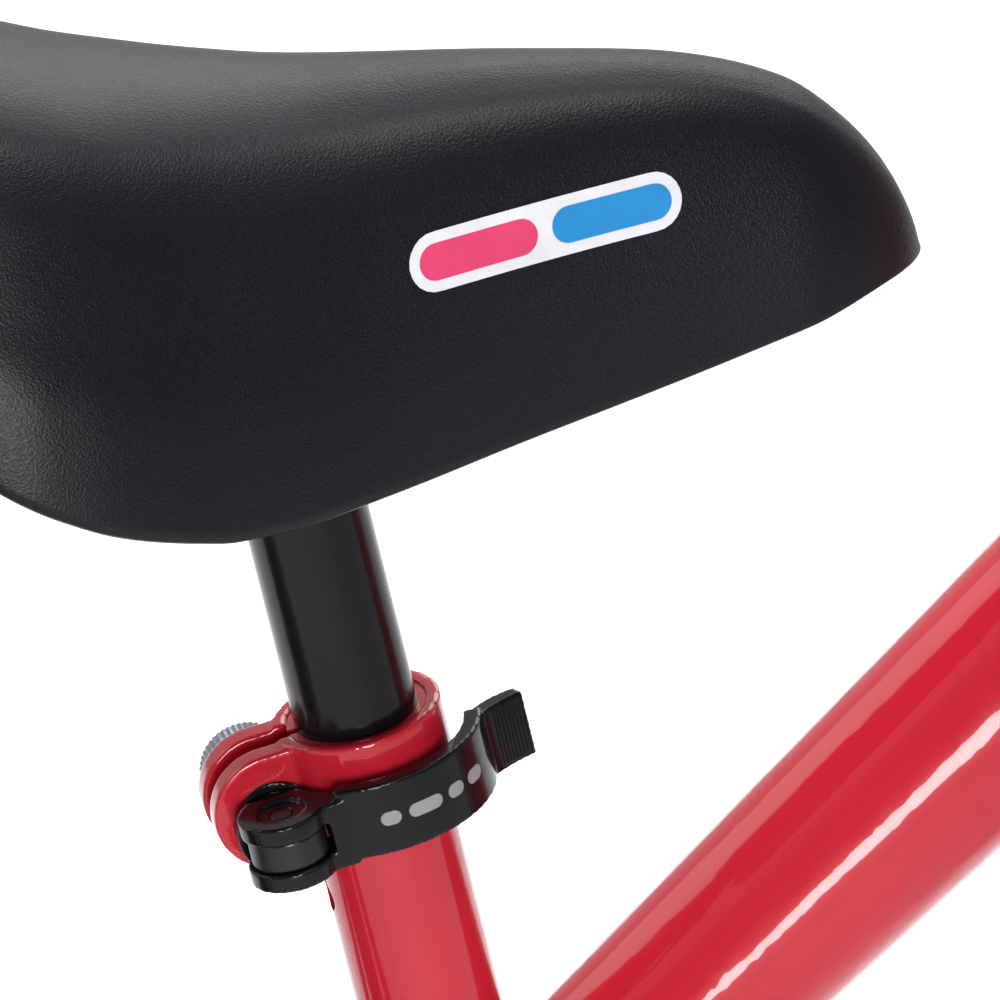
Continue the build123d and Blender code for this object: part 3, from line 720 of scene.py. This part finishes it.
def lever_ridges(lever):
    """Upright ridges on the tip of the lever, for the thumb."""
    surface = surface_tree(lever)
    outward = (SEAT_FORWARD * 0.35 - LEFT).normalized()
    along = SEAT_UP.cross(outward)
    for index in range(PAD_RIDGES):
        share = index / (PAD_RIDGES - 1)
        x = PAD_START[0] + (PAD_END[0] - PAD_START[0]) * share
        y = PAD_START[1] + (PAD_END[1] - PAD_START[1]) * share
        middle = seat_point(x, y, (PAD_LOW + PAD_HIGH) / 2)
        hit = surface.ray_cast(middle + outward * 0.02, -outward)[0]
        rows = []
        for h in (-1.0, -0.94, 0.94, 1.0):
            grow = 0.5 if abs(h) == 1 else 1.0
            centre = hit + SEAT_UP * (h * (PAD_HIGH - PAD_LOW) / 2) * MM
            rows.append([
                centre
                + (
                    along * cos(turn) * RIDGE_HALF_WIDTH
                    + outward * (sin(turn) * RIDGE_HEIGHT * grow)
                ) * MM
                for turn in (2 * pi * k / 12 for k in range(12))
            ])
        mesh = grid_mesh(f"lever_ridge_{index + 1}", rows, closed_columns=True, caps=True)
        smooth(add_piece(f"lever_ridge_{index + 1}", mesh, "lever", "black_paint"))


NUT_RADIUS = 9.5
NUT_TEETH = 48
TOOTH_DEPTH = 0.35


def thumb_nut():
    """The clamp's nut: a plain shoulder, then a straight-knurled head with a hollow end."""
    origin = seat_point(PIVOT_LOCAL.x / MM, 0, PIVOT_LOCAL.z / MM)
    first, second = side_axes(LEFT)
    rows = []
    for k in range(2 * NUT_TEETH):
        radius = NUT_RADIUS - TOOTH_DEPTH * (k % 2)
        profile = [
            (8.1, 3.1), (8.1, 8.2), (10.5, 8.2), (10.5, 8.8), (11.1, radius), (21.5, radius),
            (22.3, 8.8), (22.6, 7.6), (22.6, 4.6), (21.8, 3.9), (16.5, 3.9), (16.5, 3.1),
        ]
        angle = pi * k / NUT_TEETH
        out = first * cos(angle) + second * sin(angle)
        rows.append([origin + (LEFT * along + out * reach) * MM for along, reach in profile])
    mesh = grid_mesh("clamp_nut_knurled", rows, closed_rows=True, closed_columns=True)
    piece = add_piece("clamp_nut_knurled", mesh, "nut", SLOT_OF["clamp_nut"])
    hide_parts("clamp_nut")


# Tyres and grips

# Millimetres from the axle to the section's centre, and the section's radius at the tread's top
TYRE_CENTRE = 125.0
TYRE_SECTION = 23.5
TREAD_PITCHES = 76
TREAD_DEPTH = 1.5
RIM_TOP = 107.8
BLOCK_EDGES = (0, 0.07, 0.43, 0.5, 0.57, 0.93)
# Tread rows: angles round the section where each starts and ends, and which edge is a groove
TREAD_ROWS = ((0, 13, 0.5), (17, 35, 0), (39, 58, 0.5))
TREAD_END = 59
SIDE_LINES = (75.5, 95.5)
WALL_DROP = 1.3
LINE_HEIGHT = 0.45
SECTION_ANGLES = (
    0, 6, 12.5, 13.5, 16.5, 17.5, 26, 34.5, 35.5, 38.5, 39.5, 48, 57, 59.5, 64, 70, 74, 75.5, 77,
    84, 92, 94, 95.5, 97, 104, 112, 120, 128, 136,
)


def tread_height(angle, edge):
    """How far below the tread's top a point lies, by its angle and its place in the pitch."""
    for start, end, groove in TREAD_ROWS:
        if start <= angle <= end:
            return TREAD_DEPTH if edge == groove else 0.0
    if angle < TREAD_END:
        return TREAD_DEPTH
    on_line = any(abs(angle - line) < 1 for line in SIDE_LINES)
    return WALL_DROP - (LINE_HEIGHT if on_line else 0)


def tyre(prefix):
    """A pneumatic tyre with staggered blocks, two sidewall lines and beads in the rim."""
    centre = Vector(JOINTS[f"{prefix}_wheel_spin"]["pos_m"])
    # Each bead and its seat, then round the air space, as (from the axle, to the side)
    inside = [(RIM_TOP, 12.9), (101.6, 12.9), (101.6, 9.1), (107.2, 9.1)]
    inside += [
        (124.5 + 19.4 * cos(radians(a)), 19.4 * sin(radians(a))) for a in (150, 125, 95, 60, 30, 0)
    ]
    rows = []
    for pitch in range(TREAD_PITCHES):
        for edge in BLOCK_EDGES:
            turn = 2 * pi * (pitch + edge) / TREAD_PITCHES
            out = Vector((cos(turn), 0, sin(turn)))
            upper = []
            for angle in SECTION_ANGLES:
                radius = TYRE_SECTION - tread_height(angle, edge)
                a = radians(angle)
                upper.append((TYRE_CENTRE + radius * cos(a), radius * sin(a)))
            half = list(reversed(inside[:-1])) + list(reversed(upper))
            loop = [(inside[-1][0], 0.0)] + half + [(r, -y) for r, y in reversed(half[:-1])]
            rows.append([centre + (out * r + LEFT * y) * MM for r, y in loop])
    mesh = grid_mesh(f"{prefix}_tyre_tread", rows, closed_rows=True, closed_columns=True)
    piece = add_piece(f"{prefix}_tyre_tread", mesh, f"{prefix}_wheel", "tyre")
    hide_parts(f"{prefix}_tyre")


# The bar's last bend and its end, from the middle of the stem's clamp
BAR_KNEE = Vector((-4, 80, 62)) * MM
BAR_END = Vector((-34, 203, 67)) * MM
GRIP_LENGTH = 92.0
RIB_PITCH = 3.6


def grip(name, side):
    """A ribbed grip with a guard at its inner end and a round bumper at its outer end."""
    flip = Vector((1, side, 1))
    middle = Vector(JOINTS["bar_tilt"]["pos_m"])
    end = middle + BAR_END * flip
    out = (end - (middle + BAR_KNEE * flip)).normalized()
    start = end - out * GRIP_LENGTH * MM
    profile = [
        (0.0, 11.4), (0.0, 19.0), (0.6, 19.8), (1.8, 20.0), (3.2, 19.6), (4.0, 18.6), (5.0, 15.6),
    ]
    along = 7.0
    while along < GRIP_LENGTH - 7:
        profile += [(along, 14.0), (along + 0.5, 14.9), (along + 2.1, 14.9), (along + 2.6, 14.0)]
        along += RIB_PITCH
    profile += [
        (GRIP_LENGTH - 5, 14.4), (GRIP_LENGTH - 3.5, 18.2), (GRIP_LENGTH - 2, 19.6),
        (GRIP_LENGTH + 1, 20.0), (GRIP_LENGTH + 3.4, 19.2), (GRIP_LENGTH + 4.7, 17.2),
        (GRIP_LENGTH + 5.0, 14.0), (GRIP_LENGTH + 5.0, 4.0), (GRIP_LENGTH + 4.4, 3.0),
        (GRIP_LENGTH + 2.0, 3.0), (GRIP_LENGTH + 2.0, 11.4),
    ]
    rows = turned(start, out, profile, 72)
    mesh = grid_mesh(f"{name}_ribbed", rows, closed_rows=True, closed_columns=True)
    piece = add_piece(f"{name}_ribbed", mesh, "bar", "grip_rubber")
    smooth(piece)
    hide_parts(name)


# Welds

# Where the seat tube's and the main tube's axes cross, below the collar's top
JUNCTION_DEPTH = 114
MAIN_ANGLE = radians(43)
SEAT_SEAM = 15.2
HEAD_SEAM = 20.4
WELD_RADIUS = 2.0
WELD_PITCH = 2.6
RIPPLE_HEIGHT = 0.35


def weld(name, points):
    """A bead with its overlapping ripples along a closed seam."""
    lengths = [(points[(k + 1) % len(points)] - p).length for k, p in enumerate(points)]
    total = sum(lengths)
    waves = round(total / (WELD_PITCH * MM))
    places, run = [], 0.0
    for length in lengths:
        places.append(run / total)
        run += length

    def radius_at(k):
        phase = (places[k] * waves) % 1.0
        return (WELD_RADIUS - RIPPLE_HEIGHT * phase) * MM

    mesh = grid_mesh(name, ring_along(points, radius_at), closed_rows=True, closed_columns=True)
    piece = add_piece(name, mesh, "frame", "red_paint")
    smooth(piece)


def seam(surface, start, along, radius, count=240):
    """Where lines along a tube's wall first meet a surface."""
    first, second = side_axes(along)
    points = []
    for k in range(count):
        angle = 2 * pi * k / count
        side = (first * cos(angle) + second * sin(angle)) * radius * MM
        hit = surface.ray_cast(start + side, along)[0]
        if hit is not None:
            points.append(hit)
    return points


def welds():
    """The beads where the seat tube and the head tube meet the main tube."""
    main = surface_tree(frame["nodes"]["frame_main_tube"])
    head = surface_tree(frame["nodes"]["head_tube"])
    crossing = seat_point(0, 0, -JUNCTION_DEPTH)
    main_up = Vector((cos(MAIN_ANGLE), 0, sin(MAIN_ANGLE)))
    weld("weld_seat_top", seam(main, seat_point(0, 0, -40), -SEAT_UP, SEAT_SEAM))
    weld("weld_seat_bottom", seam(main, seat_point(0, 0, -190), SEAT_UP, SEAT_SEAM))
    weld("weld_head", seam(head, crossing + main_up * 0.25, main_up, HEAD_SEAM))


finish_nodes()
studio(camera())
cover = saddle()
saddle_sticker(cover)
softened("clamp_collar", 0.4, 14)
lever = softened("clamp_lever", 0.35, 6)
softened("clamp_washer", 0.3, 4)
softened("clamp_skewer", 0.3, 4)
lever_ridges(lever)
lever_print()
thumb_nut()
for prefix in ("front", "rear"):
    tyre(prefix)
grip("grip_left", 1)
grip("grip_right", -1)
welds()
